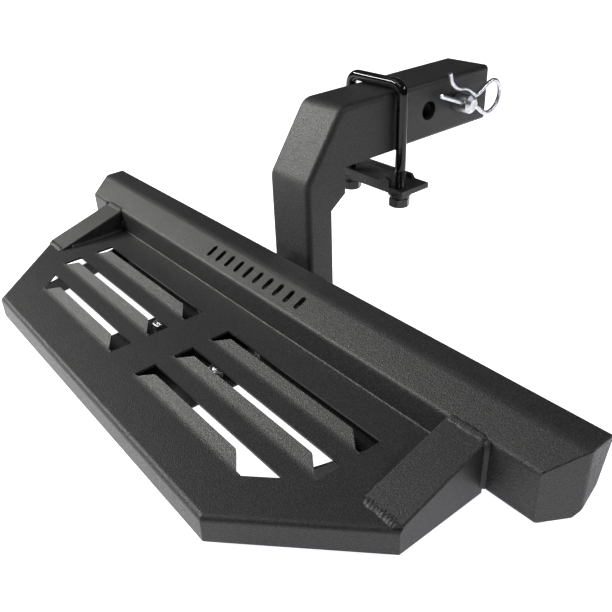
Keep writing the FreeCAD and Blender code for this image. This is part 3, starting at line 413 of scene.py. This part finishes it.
def split_washer(x, y, low, high, inner, outer):
    """A spring washer: one turn of square wire with a slanted gap, its ends offset."""
    lift = 0.15 * (high - low)
    thick = high - low - lift
    gap = math.radians(14)
    slant = math.radians(12)
    soft = 0.12 * thick
    section = [(inner, soft), (inner + soft, 0), (outer - soft, 0), (outer, soft),
               (outer, thick - soft), (outer - soft, thick), (inner + soft, thick),
               (inner, thick - soft)]
    steps = 72
    start = -math.pi / 2 + gap / 2
    rows = []
    for k in range(steps + 1):
        share = k / steps
        row = []
        for radius, height in section:
            angle = start + (TAU - gap) * share + slant * (height / thick - 0.5)
            row.append(Vector((x + radius * math.cos(angle), y + radius * math.sin(angle),
                               low + lift * share + height)))
        rows.append(row)
    return shell(rows)


# ---------------------------------------------------------------- anti-rattle clamp
SIDES = (("left", -1), ("right", 1))
ROD_PITCH = 25.4 / 16 * MM
ROD_THREAD = 36 * MM
RING_POINTS = 28
THREAD_ROWS = 6             # rings to one pitch of the thread
PLAIN_ROWS = 8
BEND_ROWS = 14
rod_low, rod_high = corners("u_bolt")
rod = (rod_high.y - rod_low.y) / 2
rod_x = rod_high.x - rod
rod_y = (rod_low.y + rod_high.y) / 2


def rod_ring(centre, way, along, hand):
    """A ring of points round the rod, threaded near the rod's end."""
    up = way.cross(Y_WAY)
    row = []
    for k in range(RING_POINTS):
        angle = TAU * k / RING_POINTS
        radius = thread_radius(rod, ROD_PITCH, along, hand * k / RING_POINTS, ROD_THREAD)
        row.append(centre + (Y_WAY * math.cos(angle) + up * math.sin(angle)) * radius)
    return row


def make_u_bolt():
    """One bent rod: legs with rolled threads and chamfered ends, tight upper corners."""
    bend = 2 * rod
    level = rod_high.z - rod
    straight = level - bend - rod_low.z
    heights = []
    height = 0.0
    while height < ROD_THREAD:
        heights.append(height)
        height += ROD_PITCH / THREAD_ROWS
    heights += [ROD_THREAD + (straight - ROD_THREAD) * k / PLAIN_ROWS
                for k in range(PLAIN_ROWS + 1)]
    rows = [rod_ring(Vector((-rod_x, rod_y, rod_low.z + s)), Z_WAY, s, -1) for s in heights]
    for side, corner_x in ((-1, bend - rod_x), (1, rod_x - bend)):
        for k in range(1, BEND_ROWS + 1):
            turn = math.pi / 2 * k / BEND_ROWS
            if side > 0:
                turn += math.pi / 2
            spoke = Vector((-math.cos(turn), 0, math.sin(turn)))
            way = Vector((math.sin(turn), 0, math.cos(turn)))
            centre = Vector((corner_x, rod_y, level - bend)) + spoke * bend
            rows.append(rod_ring(centre, way, straight, 0))
        if side < 0:
            rows.append(rod_ring(Vector((rod_x - bend, rod_y, level)), X_WAY, straight, 0))
    rows += [rod_ring(Vector((rod_x, rod_y, rod_low.z + s)), -Z_WAY, s, 1)
             for s in reversed(heights[:-1])]
    make_piece("u_bolt_rod", [shell(rows)], "gloss_black", "u_bolt", "u_bolt", crease=50)


def make_clamp_fasteners():
    """A nut, a spring washer and a flat washer on each leg of the U-bolt."""
    flat_low, flat_high = corners("clamp_washers")
    spring_low, spring_high = corners("clamp_spring_washers")
    clear = rod + 0.3 * MM
    flats = []
    springs = []
    for side, sign in SIDES:
        x = sign * rod_x
        flats.append(washer(x, rod_y, flat_low.z, flat_high.z, clear, flat_high.x - rod_x))
        springs.append(split_washer(x, rod_y, spring_low.z, spring_high.z, clear,
                                    spring_high.x - rod_x))
        nut_low, nut_high = corners("clamp_nut_" + side)
        nut = hex_nut(x, rod_y, nut_low.z, nut_high.z, nut_high.y - nut_low.y, rod + 0.1 * MM, 0)
        make_piece("nut_" + side, [nut], "black_fastener", "nut_" + side, "clamp_nut_" + side,
                   crease=25)
    make_piece("flat_washers", flats, "black_fastener", "clamp", "clamp_washers")
    make_piece("spring_washers", springs, "black_fastener", "clamp", "clamp_spring_washers")


M8_FLATS = 13 * MM
M8_RADIUS = 4 * MM
M8_PITCH = 1.25 * MM
M8_THREAD = 12 * MM
STUD_ROWS = 5               # rings to one pitch of the thread


def stud(top, low):
    """A profile for upright: an M8 shank, threaded from its top end down."""
    length = top - low
    steps = int(length / M8_PITCH * STUD_ROWS)

    def profile(angle):
        return [(thread_radius(M8_RADIUS, M8_PITCH, length * k / steps, -angle / TAU,
                               M8_THREAD),
                 top - length * k / steps) for k in range(steps + 1)]

    return profile


def make_foot_fasteners():
    """Four M8 bolts under the foot plate, with washers below it and nuts above."""
    bolt_low, bolt_high = corners("foot_bolts")
    nut_low, nut_high = corners("foot_nuts")
    flat_low, flat_high = corners("foot_washers")
    x = bolt_high.x - M8_FLATS / math.sqrt(3)
    shank = stud(bolt_high.z, flat_low.z)
    heads = []
    nuts = []
    washers = []
    for sign in (-1, 1):
        for y in (bolt_low.y + M8_FLATS / 2, bolt_high.y - M8_FLATS / 2):
            heads.append(hex_head(sign * x, y, bolt_low.z, flat_low.z, M8_FLATS, 0))
            heads.append(shell(upright(sign * x, y, shank, 20)))
            nuts.append(hex_nut(sign * x, y, nut_low.z, nut_high.z, M8_FLATS, M8_RADIUS, 0))
            washers.append(washer(sign * x, y, flat_low.z, flat_high.z, M8_RADIUS + 0.2 * MM,
                                  flat_high.x - x))
    make_piece("foot_bolt_set", heads, "zinc", "step", "foot_bolts", crease=25)
    make_piece("foot_nut_set", nuts, "zinc", "step", "foot_nuts", crease=25)
    make_piece("foot_washer_set", washers, "zinc", "step", "foot_washers")


# ---------------------------------------------------------------- welds
BEAD_SUNK = 0.15 * MM       # how far a bead's foot lies inside both faces
BEAD_BACK = 0.4 * MM        # how far its section reaches back into the corner
BEAD_ROWS = 5               # sections to one ripple
BEAD_POINTS = 8
SLOPE_RUN = 25.4 * MM       # the bar's sloping face goes back this far over its height


def weld_bead(start, stop, first, second, leg, ripple=0.10, crown=0.14, power=2, pitch=2.4 * MM,
              phase=0.0, uneven=1.0):
    """A rippled bead along a line, in the corner of two faces that first and second lie in.

    Crescents follow each other along it, its size wavers a little, and its ends are round.
    """
    length = (stop - start).length
    way = (stop - start).normalized()
    outward = (first + second).normalized()
    if outward.length < 0.5 or first.dot(second) < -0.9:
        outward = way.cross(second)
        if outward.z < 0:
            outward.negate()
    steps = max(16, int(length / pitch * BEAD_ROWS))
    rows = []
    for number in range(steps + 1):
        along = length * number / steps
        near = min(along, length - along)
        ease = math.sqrt(1 - (1 - min(near / leg, 1)) ** 2)
        waver = 1 + uneven * (0.07 * math.sin(along / pitch * 0.83 + phase)
                              + 0.05 * math.sin(along / pitch * 2.1 + 2 * phase))
        size = leg * waver * max(ease, 0.08)
        base = start + way * along - (first + second) * BEAD_SUNK
        row = []
        for k in range(BEAD_POINTS + 1):
            share = k / BEAD_POINTS
            swell = 1 - abs(2 * share - 1) ** power
            lag = 0.4 * math.sin(math.pi * share)
            cycle = (along / pitch + lag + 0.12 * math.sin(along / pitch * 1.3 + phase)) % 1
            lift = 1 - (2 * cycle - 1) ** 2
            row.append(base + (first * (1 - share) + second * share) * size
                       + outward * size * swell * (crown + ripple * lift))
        row.append(base - outward * BEAD_BACK)
        rows.append(row)
    return shell(rows)


def make_welds():
    """The bead behind the tread, those round both side arms, and those round the post."""
    bead_low, bead_high = corners("tread_weld")
    front = bead_high.y
    plate = bead_low.z
    inner = bead_high.x
    thin = 1.2 * MM
    rear = weld_bead(Vector((-inner, front, plate)), Vector((inner, front, plate)), -Y_WAY, Z_WAY,
                     thin, ripple=0.04, phase=0.7)
    make_piece("tread_bead", [rear], "powder_coat", "step", "tread_weld", crease=60)

    cad_leg = bead_high.z - bead_low.z
    _, bar_high = corners("cross_bar")
    welds_low, _ = corners("arm_welds")
    for side, sign in SIDES:
        arm_low, arm_high = corners("side_arm_" + side)
        outer = sign * max(abs(arm_low.x), abs(arm_high.x))
        near = sign * inner
        out = X_WAY * sign
        toe = arm_low.y
        head = arm_high.z
        up_arm = Vector((0, front - toe, head - plate)).normalized()
        up_bar = Vector((0, SLOPE_RUN, bar_high.z - head)).normalized()
        beads = [
            # across the arm's toe, then across its head
            weld_bead(Vector((near, toe, plate)) + out * MM,
                      Vector((outer, toe, plate)) - out * MM,
                      -Y_WAY, up_arm, 4.2 * MM, ripple=0.22, pitch=2.6 * MM, phase=sign),
            weld_bead(Vector((near, front, head)) + out * MM,
                      Vector((outer, front, head)) - out * MM,
                      -up_arm, up_bar, 3.0 * MM, ripple=0.03, crown=0.20, power=5, phase=1 + sign),
            # along its inner side on the plate, then up the bar's front
            weld_bead(Vector((near, toe + 9 * MM, plate)), Vector((near, front - thin, plate)),
                      -out, Z_WAY, 3.0 * MM, ripple=0.20, pitch=3.2 * MM, phase=2 + sign),
            weld_bead(Vector((near, front, plate)), Vector((near, front, plate + 11 * MM)),
                      -out, -Y_WAY, cad_leg, ripple=0.10, phase=3 + sign),
            # down its outer side, nearly smooth, with a blob at the top
            weld_bead(Vector((outer, front, welds_low.z + MM)),
                      Vector((outer, front, head - 3 * MM)), out, -Y_WAY, 0.75 * cad_leg,
                      ripple=0.01, crown=-0.12, phase=4 + sign, uneven=0.2),
            weld_bead(Vector((outer, front, head - 6 * MM)),
                      Vector((outer, front, head + 1.5 * MM)), out, -Y_WAY, 0.95 * cad_leg,
                      ripple=0.30, crown=0.25, pitch=1.8 * MM, phase=5 + sign),
        ]
        make_piece("arm_beads_" + side, beads, "powder_coat", "step", "arm_welds", crease=60)

    foot_low, foot_high = corners("post_welds")
    leg = foot_high.z - foot_low.z
    half = foot_high.x - leg
    back = foot_high.y - leg
    size = 0.85 * leg
    beads = [weld_bead(Vector((-half, back, foot_low.z)), Vector((half, back, foot_low.z)),
                       Y_WAY, Z_WAY, size)]
    for side, sign in SIDES:
        beads.append(weld_bead(Vector((sign * half, foot_low.y, foot_low.z)),
                               Vector((sign * half, back, foot_low.z)),
                               X_WAY * sign, Z_WAY, size, phase=sign))
    make_piece("post_beads", beads, "powder_coat", "step", "post_welds", crease=60)


# ---------------------------------------------------------------- CAD nodes that stay
SEAM = 0.000002             # metres; vertices closer than this are one
FLAT_ANGLE = math.radians(0.5)
EDGE_ANGLE = math.radians(40)
REPLACED = ("u_bolt", "clamp_washers", "clamp_spring_washers", "clamp_nut_left",
            "clamp_nut_right", "foot_bolts", "foot_nuts", "foot_washers", "tread_weld",
            "arm_welds", "post_welds")
# the bevels' widths in millimetres
SOFT_EDGES = {"clamp_plate": 0.5, "shank_tube": 0.4, "under_plate": 0.3, "foot_plate": 0.5,
              "bracket_back_strip": 0.4}


def finish_node(name):
    """Give a CAD node its coat, and soft edges where its own are sharp."""
    obj = nodes[name]
    part = next(p for p in frame["record"]["subparts"] if p["node"] == name)
    obj.data.materials.clear()
    obj.data.materials.append(MATERIALS[part["material_slot"]])
    if name in SOFT_EDGES:
        weld = obj.modifiers.new("weld", "WELD")
        weld.merge_threshold = SEAM
        flat = obj.modifiers.new("flat", "DECIMATE")
        flat.decimate_type = "DISSOLVE"
        flat.angle_limit = FLAT_ANGLE
        edge = obj.modifiers.new("edge", "BEVEL")
        edge.width = SOFT_EDGES[name] * MM
        edge.segments = 2
        edge.limit_method = "ANGLE"
        edge.angle_limit = EDGE_ANGLE
        edge.harden_normals = True


for name in nodes:
    if name not in REPLACED:
        finish_node(name)
make_u_bolt()
make_clamp_fasteners()
make_foot_fasteners()
make_welds()

make_camera()
make_studio()
